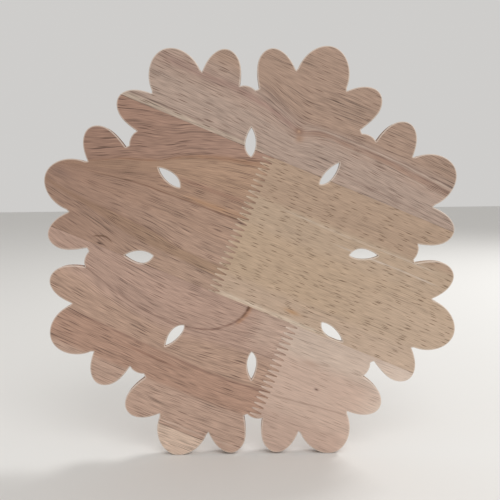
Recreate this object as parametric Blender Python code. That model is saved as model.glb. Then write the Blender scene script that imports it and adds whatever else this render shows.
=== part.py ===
"""Carved wooden rosette for a wall, 280 mm across, made of six glued pieces of board.

The back is flat and lies in the plane Y = 0, the carving faces -Y, and +Z is up.
Lengths are in millimetres until place() turns them into metres. The plan is drawn
as it is seen from the flat back, so its first coordinate runs towards -X.
"""

import math

import bmesh
import bpy
import numpy as np
from mathutils import Vector
from mathutils.geometry import delaunay_2d_cdt, interpolate_bezier

MM = 0.001

# Whole rosette
LEAVES = 8
SECTOR = math.tau / LEAVES
TIP_RADIUS = 140.0
SAW_STEP = 3.2

# Half a leaf in plan, as (across, along) from the rosette's centre
LOBE_SIDE = (16.4, 119.6)
LOBE_TIP_HANDLE = 8.6
LOBE_SIDE_HANDLE = 11.1
NOTCH = (17.1, 117.9)
NOTCH_HANDLE = (3.7, 3.6)
EAR_TOP = (32.3, 125.8)
EAR_TOP_HANDLES = (6.4, 5.3)
EAR_SIDE = (41.1, 115.5)
EAR_SIDE_HANDLES = (5.9, 5.6)
EAR_FOOT_HANDLE = (2.4, 3.8)

# Tip of the rear leaf in the gap between two leaves, as (across, along) the gap
REAR_HIGH_FOOT = (5.9, 106.3)
REAR_TOP = (3.6, 106.7)
REAR_TOP_HANDLE = (0.6, 106.7)
REAR_NOTCH_HANDLE = (-2.2, 105.4)
REAR_NOTCH = ((-3.8, 103.6), (-5.0, 103.9))
REAR_LOW_FOOT = (-6.2, 104.6)

# Pierced eye in each gap: its ends, and how far each one was opened on its two sides
EYE_INNER = (-0.6, 62.6)
EYE_INNER_HANDLES = ((1.3, 63.8), (-2.1, 64.0))
EYE_OUTER = (-1.1, 80.8)
EYE_OUTER_HANDLES = ((0.5, 78.8), (-2.3, 79.0))
EYE_LOW_WIDEST = 71.5
EYE_LOW_HANDLE = 4.0
EYE_HIGH_WIDEST = 69.8
EYE_HIGH_HANDLES = (3.4, 4.4)
EYE_SIDES = ((3.2, 3.4), (3.1, 2.5), (3.7, 2.9), (3.5, 2.8), (3.9, 4.1), (3.2, 2.8), (3.6, 2.3), (3.4, 3.0))

# Heights of the carving above the flat back
BOSS_RADIUS = 24.0
BOSS_HEIGHT = 25.0
BOSS_FOOT = 14.5
COLLAR_RADIUS = 27.5
COLLAR_WIDTH = 7.0
COLLAR_HEIGHT = 15.0
COLLAR_FOOT = 11.0
COLLAR_STEP = 0.8
COLLAR_SIDES = 48
LEAF_START = COLLAR_RADIUS + COLLAR_WIDTH / 2
LEAF_PEAK_RADIUS = 98.0
LEAF_PEAK = 19.5
LEAF_START_DROP = 8.0
LEAF_TIP_DROP = 11.0
RIM = 5.5
RIM_ROUNDING = 9.0
EYE_EDGE = 1.0
EYE_FLARE = 14.0
GROOVE_FLOOR = 6.0
GROOVE_SPREAD = 0.8
OVERLAP_START = 62.0
REAR_LEAF = 8.5
REAR_LEAF_CREST = 1.2
REAR_LEAF_START = 81.0
REAR_LEAF_END = 106.0
REAR_LEAF_HALF_WIDTHS = (1.6, 6.2)
LEAF_UNDERCUT = 11.0
LEAF_UNDERCUT_STEP = 1.0
LEAF_UNDERCUT_ROUNDING = 9.0
FOLD_START = 64.0
FOLD_OFFSET = 2.5
FOLD_CURVE = 1.2
FOLD_DEPTH = 5.5
FOLD_WIDTH = 8.0
VEIN_DEPTH = 1.6
VEIN_WIDTH = 2.2
VEIN_END = 130.0

# Spacing of the points that carry the carved surface
LINE_STEP = 9.0
LINE_CLEARANCE = 3.0
ROW_STEP = 11.0
COLUMN_STEP = 7.5
BOSS_ROWS = ((9.0, 12), (16.0, 24), (20.5, 24))
RIM_ROWS = (2.0, 6.5)
EYE_ROW = 4.0
LEAST_SPACING = 1.5
KEPT_SHARE = 0.9
MERGE_DISTANCE = 0.0001
CREASE_ANGLE = math.radians(40.0)
FLAT_ANGLE = 0.001

# Glued board: the staves fall 23 degrees to the right, seen from the back
GRAIN_ANGLE = math.radians(-23.0)
UPPER_SEAM = 62.5
LOWER_SEAM = -30.9
BOTTOM_SEAM = -124.0
BOTTOM_STAVE_REACH = 24.0
FINGER_PITCH = 3.8
FINGER_LENGTH = 8.5
FINGER_TIP = 0.7
UPPER_JOINT = -13.6
UPPER_JOINT_FINGER = 58.4
LOWER_JOINT = 41.6
LOWER_JOINT_FINGER = -36.2
LOWER_JOINT_END = -98.6
LOWER_JOINT_OUTSIDE = 44.6
GLUE_GAP = 0.3
REACH = 170.0
SEAM_STEP = 7.0

# Tones of the six pieces, as seen on the back
TONES = {
    "top_stave": (0.37, 0.26, 0.21),
    "middle_stave_brown": (0.33, 0.21, 0.15),
    "middle_stave_yellow": (0.43, 0.31, 0.22),
    "lower_stave_tan": (0.39, 0.26, 0.19),
    "lower_stave_pale": (0.50, 0.37, 0.31),
    "bottom_stave_tip": (0.49, 0.36, 0.29),
}
WOOD_ROUGHNESS = 0.6


def clear_scene():
    for thing in list(bpy.data.objects):
        bpy.data.objects.remove(thing, do_unlink=True)


def new_collection(name):
    collection = bpy.data.collections.new(name)
    bpy.context.scene.collection.children.link(collection)
    return collection


def wood(name, tone):
    material = bpy.data.materials.new(name)
    material.use_nodes = True
    shader = material.node_tree.nodes["Principled BSDF"]
    shader.inputs["Base Color"].default_value = (*tone, 1.0)
    shader.inputs["Roughness"].default_value = WOOD_ROUGHNESS
    shader.inputs["Metallic"].default_value = 0.0
    return material


def place(right, up, height):
    """A point of the plan, at a height above the flat back, in metres."""
    return (-right * MM, -height * MM, up * MM)


def arc(start, first, second, end):
    """Points along a Bezier curve, about a saw step apart, without its last one."""
    knots = [Vector((x, y, 0.0)) for x, y in (start, first, second, end)]
    length = sum((b - a).length for a, b in zip(knots, knots[1:]))
    count = max(3, round(length / SAW_STEP))
    return [(p.x, p.y) for p in interpolate_bezier(*knots, count + 1)[:-1]]


def turned(point, angle):
    """(across, along) about an axis at this bearing, as a point of the plan."""
    across, along = point
    return (
        along * math.cos(angle) - across * math.sin(angle),
        along * math.sin(angle) + across * math.cos(angle),
    )


def gap_foot(foot):
    """A point of the gap, seen from the axis of the leaf beside it."""
    across, along = foot
    half = SECTOR / 2
    away = abs(across)
    return (
        along * math.sin(half) - away * math.cos(half),
        along * math.cos(half) + away * math.sin(half),
    )


def half_leaf(foot):
    """Outline of half a leaf, from its tip to its foot in the gap."""
    ear_x, ear_y = EAR_TOP
    side_x, side_y = EAR_SIDE
    end = gap_foot(foot)
    lobe_handle = (LOBE_SIDE[0], LOBE_SIDE[1] + LOBE_SIDE_HANDLE)
    points = arc((0.0, TIP_RADIUS), (LOBE_TIP_HANDLE, TIP_RADIUS), lobe_handle, LOBE_SIDE)
    points.append(LOBE_SIDE)
    notch_handle = (NOTCH[0] + NOTCH_HANDLE[0], NOTCH[1] + NOTCH_HANDLE[1])
    points += arc(NOTCH, notch_handle, (ear_x - EAR_TOP_HANDLES[0], ear_y), EAR_TOP)
    side_handle = (side_x, side_y + EAR_SIDE_HANDLES[0])
    points += arc(EAR_TOP, (ear_x + EAR_TOP_HANDLES[1], ear_y), side_handle, EAR_SIDE)
    foot_handle = (end[0] + EAR_FOOT_HANDLE[0], end[1] + EAR_FOOT_HANDLE[1])
    points += arc(EAR_SIDE, (side_x, side_y - EAR_SIDE_HANDLES[1]), foot_handle, end)
    points.append(end)
    return points


def rear_tip():
    """Outline of the rear leaf's tip, from its high foot to its low foot, without the feet."""
    points = arc(REAR_TOP, REAR_TOP_HANDLE, REAR_NOTCH_HANDLE, REAR_NOTCH[0])
    points += REAR_NOTCH
    return points


def outer_outline():
    """The rosette's outline, counter-clockwise. Every second leaf overlaps the rear leaves fully."""
    outline = []
    for leaf in range(LEAVES):
        full = leaf % 2 == 0
        axis = (leaf + 0.5) * SECTOR
        half = half_leaf(REAR_HIGH_FOOT if full else REAR_LOW_FOOT)
        outline += [turned((-x, y), axis) for x, y in reversed(half)]
        outline += [turned(point, axis) for point in half[1:]]
        gap = (leaf + 1) * SECTOR
        tip = rear_tip()
        if full:
            outline += [turned((-x, y), gap) for x, y in tip]
        else:
            outline += [turned(point, gap) for point in reversed(tip)]
    return outline


def eye_outline(gap):
    """One pierced eye, clockwise, as the edge of a hole runs."""
    low, high = EYE_SIDES[gap]
    hand = 1 if gap % 2 == 0 else -1
    high_side = (high, EYE_HIGH_WIDEST)
    low_side = (-low, EYE_LOW_WIDEST)
    points = arc(EYE_INNER, EYE_INNER_HANDLES[0], (high, EYE_HIGH_WIDEST - EYE_HIGH_HANDLES[0]), high_side)
    points += arc(high_side, (high, EYE_HIGH_WIDEST + EYE_HIGH_HANDLES[1]), EYE_OUTER_HANDLES[0], EYE_OUTER)
    points += arc(EYE_OUTER, EYE_OUTER_HANDLES[1], (-low, EYE_LOW_WIDEST + EYE_LOW_HANDLE), low_side)
    points += arc(low_side, (-low, EYE_LOW_WIDEST - EYE_LOW_HANDLE), EYE_INNER_HANDLES[1], EYE_INNER)
    placed = [turned((hand * x, y), gap * SECTOR) for x, y in points]
    return placed if hand > 0 else placed[::-1]


def on_board(along, across):
    """A point given along and across the grain, as a point of the plan."""
    cos, sin = math.cos(GRAIN_ANGLE), math.sin(GRAIN_ANGLE)
    return (along * cos - across * sin, along * sin + across * cos)


def finger_joint(centre, phase, top, bottom, side):
    """The zigzag of a finger joint from top to bottom, drawn back from the glue line on one side.

    side is -1 for the piece on the left, whose fingers are centred on phase, and 1 for the right.
    """
    shift = side * GLUE_GAP / 2
    left = centre - FINGER_LENGTH / 2 + shift
    right = centre + FINGER_LENGTH / 2 + shift
    tip = FINGER_TIP / 2 + shift
    root = (FINGER_PITCH - FINGER_TIP) / 2 + shift
    first = math.floor((phase - top) / FINGER_PITCH) - 1
    last = math.ceil((phase - bottom) / FINGER_PITCH) + 1
    zigzag = []
    for finger in range(first, last + 1):
        level = phase - finger * FINGER_PITCH
        zigzag += [(left, level + root), (right, level + tip), (right, level - tip), (left, level - root)]
    alongs, levels = zip(*zigzag[::-1])
    ends = np.interp((top, bottom), levels, alongs)
    return [(ends[0], top)] + [p for p in zigzag if bottom < p[1] < top] + [(ends[1], bottom)]


def stepped(start, end):
    """Points from start to end, about a seam step apart, without the last one."""
    count = max(1, round(math.dist(start, end) / SEAM_STEP))
    return [tuple(np.array(start) + (np.array(end) - start) * i / count) for i in range(count)]


def board_plans():
    """The sawn plan of each glued piece, along and across the grain, each drawn back from its glue lines."""
    clear = GLUE_GAP / 2
    upper_joint = {
        side: finger_joint(UPPER_JOINT, UPPER_JOINT_FINGER, UPPER_SEAM - clear, LOWER_SEAM + clear, side)
        for side in (-1, 1)
    }
    lower_joint = {
        side: finger_joint(LOWER_JOINT, LOWER_JOINT_FINGER, LOWER_SEAM - clear, LOWER_JOINT_END, side)
        for side in (-1, 1)
    }
    top = [(REACH, REACH), (-REACH, REACH)]
    top += stepped((-REACH, UPPER_SEAM + clear), (REACH, UPPER_SEAM + clear)) + [(REACH, UPPER_SEAM + clear)]

    joint = upper_joint[-1]
    brown = stepped(joint[0], (-REACH, UPPER_SEAM - clear))
    brown += stepped((-REACH, UPPER_SEAM - clear), (-REACH, LOWER_SEAM + clear))
    brown += stepped((-REACH, LOWER_SEAM + clear), joint[-1]) + joint[::-1][:-1]

    joint = upper_joint[1]
    yellow = joint[:-1] + stepped(joint[-1], (REACH, LOWER_SEAM + clear))
    yellow += [(REACH, LOWER_SEAM + clear)] + stepped((REACH, UPPER_SEAM - clear), joint[0])

    joint = lower_joint[-1]
    outside = LOWER_JOINT_OUTSIDE - clear
    tan = stepped(joint[0], (-REACH, LOWER_SEAM - clear)) + [(-REACH, LOWER_SEAM - clear), (-REACH, -REACH)]
    tan += [(-BOTTOM_STAVE_REACH, -REACH)]
    tan += stepped((-BOTTOM_STAVE_REACH, BOTTOM_SEAM + clear), (BOTTOM_STAVE_REACH, BOTTOM_SEAM + clear))
    tan += [(BOTTOM_STAVE_REACH, BOTTOM_SEAM + clear), (BOTTOM_STAVE_REACH, -REACH), (outside, -REACH)]
    tan += [(outside, LOWER_JOINT_END)] + joint[::-1][:-1]

    joint = lower_joint[1]
    outside = LOWER_JOINT_OUTSIDE + clear
    pale = joint + [(outside, LOWER_JOINT_END), (outside, -REACH), (REACH, -REACH)]
    pale += stepped((REACH, LOWER_SEAM - clear), joint[0])

    wide = BOTTOM_STAVE_REACH - clear
    bottom = stepped((wide, BOTTOM_SEAM - clear), (-wide, BOTTOM_SEAM - clear))
    bottom += [(-wide, BOTTOM_SEAM - clear), (-wide, -REACH), (wide, -REACH)]

    plans = dict(zip(TONES, (top, brown, yellow, tan, pale, bottom)))
    return {name: [on_board(*point) for point in plan] for name, plan in plans.items()}


def distance_to(points, outline):
    """Distance from each point to the nearest side of a closed outline."""
    start = np.array(outline)
    side = np.roll(start, -1, axis=0) - start
    offset = points[:, None, :] - start[None, :, :]
    along = np.clip((offset * side).sum(-1) / (side * side).sum(-1), 0.0, 1.0)
    return np.hypot(*np.moveaxis(offset - along[..., None] * side, -1, 0)).min(1)


def quarter_round(share):
    return np.sqrt(1.0 - (1.0 - np.clip(share, 0.0, 1.0)) ** 2)


def eased(share):
    share = np.clip(share, 0.0, 1.0)
    return share * (2.0 - share)


def smooth(share):
    share = np.clip(share, 0.0, 1.0)
    return share * share * (3.0 - 2.0 * share)


def fold_line(along):
    """How far from the leaf's axis the fold between the middle lobe and the side lobe lies."""
    share = np.clip((along - FOLD_START) / (NOTCH[1] - FOLD_START), 0.0, 1.0)
    return FOLD_OFFSET + (NOTCH[0] - FOLD_OFFSET) * share**FOLD_CURVE


def rear_leaf_edge(along):
    """Half the width of the rear leaf that shows between two leaves."""
    return np.interp(along, (REAR_LEAF_START, REAR_LEAF_END), REAR_LEAF_HALF_WIDTHS)


def carved_height(points, outline, eyes):
    """Height of the carving above the flat back at each point of the plan."""
    radius = np.hypot(points[:, 0], points[:, 1])
    bearing = np.arctan2(points[:, 1], points[:, 0])
    from_gap = np.abs((bearing + SECTOR / 2) % SECTOR - SECTOR / 2)
    from_axis = SECTOR / 2 - from_gap
    along, across = radius * np.cos(from_axis), radius * np.sin(from_axis)
    gap_along, gap_across = radius * np.cos(from_gap), radius * np.sin(from_gap)
    rim_distance = distance_to(points, outline)
    eye_distance = np.min([distance_to(points, eye) for eye in eyes], axis=0)

    # A leaf climbs from the collar to its peak and curls down to its tip
    inward = (LEAF_PEAK_RADIUS - radius) / (LEAF_PEAK_RADIUS - LEAF_START)
    outward = (radius - LEAF_PEAK_RADIUS) / (TIP_RADIUS - LEAF_PEAK_RADIUS)
    crest = LEAF_PEAK - np.where(inward > 0, LEAF_START_DROP * inward**2, LEAF_TIP_DROP * outward**2)

    # Folds part the lobes, and a vein runs down the middle
    fold_growth = eased((along - FOLD_START) / (NOTCH[1] - FOLD_START))
    fold = np.clip(1.0 - np.abs(across - fold_line(along)) / FOLD_WIDTH, 0.0, 1.0)
    vein = np.clip(1.0 - across / VEIN_WIDTH, 0.0, 1.0) * (along < VEIN_END)
    leaf = crest - FOLD_DEPTH * fold_growth * fold - VEIN_DEPTH * vein

    # The leaf rounds down to its own edge: the rim, the groove, or the rear leaf under it
    behind = gap_along > REAR_LEAF_START
    past_edge = gap_across - rear_leaf_edge(gap_along)
    half_width = np.maximum(radius, LEAF_START) * math.sin(SECTOR / 2)
    groove = GROOVE_FLOOR + (leaf - GROOVE_FLOOR) * eased(gap_across / (GROOVE_SPREAD * half_width))
    overlap = LEAF_UNDERCUT + (leaf - LEAF_UNDERCUT) * quarter_round(past_edge / LEAF_UNDERCUT_ROUNDING)
    rear = REAR_LEAF + REAR_LEAF_CREST * np.clip(1.0 - gap_across / rear_leaf_edge(gap_along), 0.0, 1.0)
    step = np.clip(past_edge / LEAF_UNDERCUT_STEP, 0.0, 1.0)
    lapped = smooth((gap_along - OVERLAP_START) / (REAR_LEAF_START - OVERLAP_START))
    before = groove * (1.0 - lapped) + overlap * lapped
    height = np.where(behind, rear * (1.0 - step) + overlap * step, before)
    height = np.minimum(height, EYE_EDGE + (leaf - EYE_EDGE) * eased(eye_distance / EYE_FLARE))
    height = np.minimum(height, RIM + (height - RIM) * quarter_round(rim_distance / RIM_ROUNDING))

    # Boss and collar in the middle
    dome = np.sqrt(np.clip(1.0 - (radius / BOSS_RADIUS) ** 2, 0.0, 1.0))
    boss = BOSS_FOOT + (BOSS_HEIGHT - BOSS_FOOT) * dome
    ring = np.sqrt(np.clip(1.0 - ((radius - COLLAR_RADIUS) * 2 / COLLAR_WIDTH) ** 2, 0.0, 1.0))
    collar = COLLAR_FOOT + (COLLAR_HEIGHT - COLLAR_FOOT) * ring
    height = np.where(radius < LEAF_START + COLLAR_STEP / 2, collar, height)
    return np.where(radius < BOSS_RADIUS + COLLAR_STEP / 2, boss, height)


def ring_points(radius, count):
    return [turned((0.0, radius), i * math.tau / count) for i in range(count)]


def line_steps(start, end):
    """Places along a line of the carving."""
    return np.linspace(start, end, round((end - start) / LINE_STEP) + 1)


def drawn_line(across, along, angle):
    """A line of the carving, from its places across and along an axis at this bearing."""
    return [turned(point, angle) for point in np.broadcast(across, along)]


def leaf_lines():
    """Lines of the carving that the surface must follow."""
    lines = []
    step_rings = [edge + step for edge in (BOSS_RADIUS, LEAF_START) for step in (0.0, COLLAR_STEP)]
    for radius in step_rings + [COLLAR_RADIUS]:
        ring = ring_points(radius, COLLAR_SIDES)
        lines.append(ring + ring[:1])
    vein = line_steps(LEAF_START + LINE_CLEARANCE, VEIN_END)
    fold = line_steps(FOLD_START, NOTCH[1] - LINE_CLEARANCE)
    groove = line_steps(LEAF_START + LINE_CLEARANCE, EYE_INNER[1] - LINE_CLEARANCE)
    edge = line_steps(REAR_LEAF_START + LINE_CLEARANCE, REAR_LEAF_END - LINE_CLEARANCE)
    for leaf in range(LEAVES):
        axis = (leaf + 0.5) * SECTOR
        gap = leaf * SECTOR
        for offset in (-VEIN_WIDTH, 0.0, VEIN_WIDTH):
            lines.append(drawn_line(offset, vein, axis))
        lines.append(drawn_line(0.0, groove, gap))
        lines.append(drawn_line(0.0, edge, gap))
        for hand in (-1, 1):
            lines.append(drawn_line(hand * fold_line(fold), fold, axis))
            for past in (0.0, LEAF_UNDERCUT_STEP):
                lines.append(drawn_line(hand * (rear_leaf_edge(edge) + past), edge, gap))
    return lines


def drawn_in(outline, distance, every=1):
    """Points this far inside an outline, or outside a pierced one, where they keep their distance."""
    loop = np.array(outline)
    along = np.roll(loop, -1, axis=0) - np.roll(loop, 1, axis=0)
    normal = np.stack([-along[:, 1], along[:, 0]], 1) / np.hypot(along[:, 0], along[:, 1])[:, None]
    moved = (loop + normal * distance)[::every]
    return moved[distance_to(moved, outline) > KEPT_SHARE * distance]


def fill_points(outline, eyes):
    """Loose points that carry the rounded forms between the carving's lines."""
    points = [(0.0, 0.0)]
    for radius, count in BOSS_ROWS:
        points += ring_points(radius, count)
    points += ring_points(BOSS_RADIUS - COLLAR_STEP, COLLAR_SIDES)
    points += ring_points(LEAF_START - COLLAR_STEP, COLLAR_SIDES)
    for every, distance in enumerate(RIM_ROWS, start=1):
        points += [tuple(p) for p in drawn_in(outline, distance, every)]
    for eye in eyes:
        points += [tuple(p) for p in drawn_in(eye, EYE_ROW)]
    for radius in np.arange(LEAF_START + ROW_STEP, TIP_RADIUS - ROW_STEP, ROW_STEP):
        columns = round(radius * SECTOR / 2 / COLUMN_STEP)
        for leaf in range(LEAVES):
            for column in range(columns):
                for hand in (-1, 1):
                    turn = hand * (column + 0.5) / columns
                    points.append(turned((0.0, radius), (leaf + 0.5 + turn / 2) * SECTOR))
    return points


def spread(points, fixed, least):
    """The points that keep at least this distance from each other and from the fixed ones."""
    kept = []
    taken = np.array(fixed)
    for point in points:
        if np.hypot(*(taken - point).T).min() > least:
            kept.append(point)
            taken = np.vstack([taken, point])
    return kept


def triangulated():
    """The whole plan in triangles, each with the glued piece that it belongs to."""
    outline = outer_outline()
    eyes = [eye_outline(gap) for gap in range(LEAVES)]
    boards = board_plans()
    lines = leaf_lines()
    points, sides, loops = [], [], []
    for loop in [outline] + [eye[::-1] for eye in eyes] + list(boards.values()):
        loops.append(list(range(len(points), len(points) + len(loop))))
        points += loop
    for line in lines:
        first = len(points)
        sides += [(first + i, first + i + 1) for i in range(len(line) - 1)]
        points += line
    points += spread(fill_points(outline, eyes), points, LEAST_SPACING)
    plan, _, triangles, _, _, owners = delaunay_2d_cdt(
        [Vector(point) for point in points], sides, loops, 1, MERGE_DISTANCE
    )
    plan = np.array([tuple(point) for point in plan])
    first_board = 1 + len(eyes)
    pieces = {name: [] for name in boards}
    for triangle, inside in zip(triangles, owners):
        if 0 in inside and not any(0 < loop < first_board for loop in inside):
            for number, name in enumerate(boards):
                if first_board + number in inside:
                    pieces[name].append(tuple(triangle))
    return plan, pieces, outline, eyes


def carved_piece(name, plan, heights, triangles, collection):
    """One glued piece: its plan lies on the back and is drawn out to the carved height."""
    sheet = bmesh.new()
    corners = {}
    for triangle in triangles:
        for corner in triangle:
            if corner not in corners:
                corners[corner] = sheet.verts.new(place(*plan[corner], 0.0))
    for triangle in triangles:
        sheet.faces.new([corners[corner] for corner in triangle])
    back = set(sheet.faces)
    drawn = bmesh.ops.extrude_face_region(sheet, geom=list(back), use_keep_orig=True)
    top = {tuple(vert.co.xz): vert for vert in drawn["geom"] if isinstance(vert, bmesh.types.BMVert)}
    for corner, vert in corners.items():
        top[tuple(vert.co.xz)].co.y = -heights[corner] * MM
    inner = [edge for edge in sheet.edges if edge.is_manifold and back.issuperset(edge.link_faces)]
    bmesh.ops.dissolve_limit(sheet, angle_limit=FLAT_ANGLE, verts=[], edges=inner)
    bmesh.ops.recalc_face_normals(sheet, faces=sheet.faces)
    mesh = bpy.data.meshes.new(name)
    sheet.to_mesh(mesh)
    sheet.free()
    mesh.set_sharp_from_angle(angle=CREASE_ANGLE)
    mesh.materials.append(wood(name + "_wood", TONES[name]))
    piece = bpy.data.objects.new(name, mesh)
    collection.objects.link(piece)
    return piece


def main():
    clear_scene()
    collection = new_collection("carved_rosette")
    plan, pieces, outline, eyes = triangulated()
    heights = carved_height(plan, outline, eyes)
    for name, triangles in pieces.items():
        carved_piece(name, plan, heights, triangles, collection)


main()
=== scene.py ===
"""Looks of a carved wooden rosette, 280 mm across, made of six glued pieces of rubberwood board.

The flat back lies in the plane Y = 0, the carving faces -Y, and +Z is up. Sizes are in millimetres.
Plans are drawn as the flat back is seen, so a plan's first coordinate runs towards -X.
"""

import math

import bpy
import numpy as np
from mathutils import Matrix, Vector, kdtree
from mathutils.geometry import delaunay_2d_cdt, interpolate_bezier


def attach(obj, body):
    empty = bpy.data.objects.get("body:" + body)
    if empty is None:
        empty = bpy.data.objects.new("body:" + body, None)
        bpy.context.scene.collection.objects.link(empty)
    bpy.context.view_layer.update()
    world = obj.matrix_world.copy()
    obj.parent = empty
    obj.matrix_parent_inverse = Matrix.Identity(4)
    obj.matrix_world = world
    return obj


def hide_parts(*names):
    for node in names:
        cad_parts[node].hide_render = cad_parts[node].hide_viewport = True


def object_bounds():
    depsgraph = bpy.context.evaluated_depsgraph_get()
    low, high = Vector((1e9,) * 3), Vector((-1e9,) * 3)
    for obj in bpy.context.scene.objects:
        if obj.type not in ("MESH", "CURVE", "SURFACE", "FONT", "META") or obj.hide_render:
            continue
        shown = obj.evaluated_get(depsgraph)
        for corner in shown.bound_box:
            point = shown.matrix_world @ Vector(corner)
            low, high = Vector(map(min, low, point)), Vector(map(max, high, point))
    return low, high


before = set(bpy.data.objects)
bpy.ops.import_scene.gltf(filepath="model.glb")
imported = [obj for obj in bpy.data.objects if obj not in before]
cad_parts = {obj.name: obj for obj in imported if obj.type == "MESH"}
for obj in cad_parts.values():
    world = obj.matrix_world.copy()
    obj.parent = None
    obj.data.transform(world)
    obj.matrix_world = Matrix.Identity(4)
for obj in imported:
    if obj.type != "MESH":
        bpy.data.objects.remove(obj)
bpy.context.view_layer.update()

# Top stave
# The stave across the top of the panel, one length of rubberwood glued edge to edge to the stave below.
# The whole panel was sawn to the leaf outline in one go, pierced, and then carved on the front, so the
# outline, the carving and the way that the wood is drawn are all set here, for this piece and the others.
MM = 0.001
TINY = 0.001
LEAVES = 8
SECTOR = math.tau / LEAVES
TIP_RADIUS = 140.0
SAW_STEP = 0.7

# Half a leaf in plan, as (across, along) from the rosette's centre: half of its middle lobe, the notch, and
# the side lobe, called ear
LOBE_SIDE = (16.4, 119.6)
LOBE_TIP_HANDLE = 8.6
LOBE_SIDE_HANDLE = 11.1
NOTCH = (17.1, 117.9)
NOTCH_HANDLE = (3.7, 3.6)
EAR_TOP = (32.3, 125.8)
EAR_TOP_HANDLES = (6.4, 5.3)
EAR_SIDE = (41.1, 115.5)
EAR_SIDE_HANDLES = (5.9, 5.6)
EAR_FOOT_HANDLE = (2.4, 3.8)

# Tip of the rear leaf in the gap between two leaves, as (across, along) the gap
REAR_HIGH_FOOT = (5.9, 106.3)
REAR_TOP = (3.6, 106.7)
REAR_TOP_HANDLE = (0.6, 106.7)
REAR_NOTCH_HANDLE = (-2.2, 105.4)
REAR_NOTCH = ((-3.8, 103.6), (-5.0, 103.9))
REAR_LOW_FOOT = (-6.2, 104.6)

# Pierced eye in each gap: its ends, and how far each one was opened on its two sides
EYE_INNER = (-0.6, 62.6)
EYE_INNER_HANDLES = ((1.3, 63.8), (-2.1, 64.0))
EYE_OUTER = (-1.1, 80.8)
EYE_OUTER_HANDLES = ((0.5, 78.8), (-2.3, 79.0))
EYE_LOW_WIDEST = 71.5
EYE_LOW_HANDLE = 4.0
EYE_HIGH_WIDEST = 69.8
EYE_HIGH_HANDLES = (3.4, 4.4)
EYE_SIDES = ((3.2, 3.4), (3.1, 2.5), (3.7, 2.9), (3.5, 2.8), (3.9, 4.1), (3.2, 2.8), (3.6, 2.3), (3.4, 3.0))

# Staves fall 23 degrees to the right, and are placed by (along, across) the grain from the middle. Before
# the sawing they reach out past the outline.
GRAIN_ANGLE = math.radians(-23.0)
UPPER_SEAM = 62.5
GLUE_LINE = 0.04
CLEAR = GLUE_LINE / 2
REACH = 150.0


def arc(start, first, second, end):
    """Points along a Bezier curve, a saw step apart, without its last one."""
    knots = [Vector((x, y, 0.0)) for x, y in (start, first, second, end)]
    length = sum((b - a).length for a, b in zip(knots, knots[1:]))
    count = max(2, round(length / SAW_STEP))
    return [(p.x, p.y) for p in interpolate_bezier(*knots, count + 1)[:-1]]


def turned(point, angle):
    """(across, along) about an axis at this bearing, as a point of the plan."""
    across, along = point
    cos, sin = math.cos(angle), math.sin(angle)
    return (along * cos - across * sin, along * sin + across * cos)


def gap_foot(foot):
    """A point of the gap, seen from the axis of the leaf beside it."""
    away, along = abs(foot[0]), foot[1]
    cos, sin = math.cos(SECTOR / 2), math.sin(SECTOR / 2)
    return (along * sin - away * cos, along * cos + away * sin)


def half_leaf(foot):
    """Outline of half a leaf, from its tip to its foot in the gap."""
    ear_x, ear_y = EAR_TOP
    side_x, side_y = EAR_SIDE
    end = gap_foot(foot)
    lobe_side_handle = (LOBE_SIDE[0], LOBE_SIDE[1] + LOBE_SIDE_HANDLE)
    points = arc((0.0, TIP_RADIUS), (LOBE_TIP_HANDLE, TIP_RADIUS), lobe_side_handle, LOBE_SIDE)
    points.append(LOBE_SIDE)
    notch_handle = (NOTCH[0] + NOTCH_HANDLE[0], NOTCH[1] + NOTCH_HANDLE[1])
    points += arc(NOTCH, notch_handle, (ear_x - EAR_TOP_HANDLES[0], ear_y), EAR_TOP)
    ear_handles = (ear_x + EAR_TOP_HANDLES[1], ear_y), (side_x, side_y + EAR_SIDE_HANDLES[0])
    points += arc(EAR_TOP, *ear_handles, EAR_SIDE)
    foot_handle = (end[0] + EAR_FOOT_HANDLE[0], end[1] + EAR_FOOT_HANDLE[1])
    points += arc(EAR_SIDE, (side_x, side_y - EAR_SIDE_HANDLES[1]), foot_handle, end)
    points.append(end)
    return points


def outer_outline():
    """The rosette's outline, counter-clockwise. Every second leaf overlaps the rear leaves fully."""
    tip = arc(REAR_TOP, REAR_TOP_HANDLE, REAR_NOTCH_HANDLE, REAR_NOTCH[0]) + list(REAR_NOTCH)
    outline = []
    for leaf in range(LEAVES):
        full = leaf % 2 == 0
        axis = (leaf + 0.5) * SECTOR
        half = half_leaf(REAR_HIGH_FOOT if full else REAR_LOW_FOOT)
        outline += [turned((-x, y), axis) for x, y in reversed(half)]
        outline += [turned(point, axis) for point in half[1:]]
        gap = (leaf + 1) * SECTOR
        if full:
            outline += [turned((-x, y), gap) for x, y in tip]
        else:
            outline += [turned(point, gap) for point in reversed(tip)]
    return outline


def eye_outline(gap):
    """One pierced eye, clockwise, as the edge of a hole runs."""
    low, high = EYE_SIDES[gap]
    hand = 1 if gap % 2 == 0 else -1
    high_side = (high, EYE_HIGH_WIDEST)
    low_side = (-low, EYE_LOW_WIDEST)
    points = arc(EYE_INNER, EYE_INNER_HANDLES[0], (high, EYE_HIGH_WIDEST - EYE_HIGH_HANDLES[0]), high_side)
    points += arc(high_side, (high, EYE_HIGH_WIDEST + EYE_HIGH_HANDLES[1]), EYE_OUTER_HANDLES[0], EYE_OUTER)
    points += arc(EYE_OUTER, EYE_OUTER_HANDLES[1], (-low, EYE_LOW_WIDEST + EYE_LOW_HANDLE), low_side)
    points += arc(low_side, (-low, EYE_LOW_WIDEST - EYE_LOW_HANDLE), EYE_INNER_HANDLES[1], EYE_INNER)
    placed = [turned((hand * x, y), gap * SECTOR) for x, y in points]
    return placed if hand > 0 else placed[::-1]


OUTLINE = outer_outline()
EYES = [eye_outline(gap) for gap in range(LEAVES)]

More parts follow.
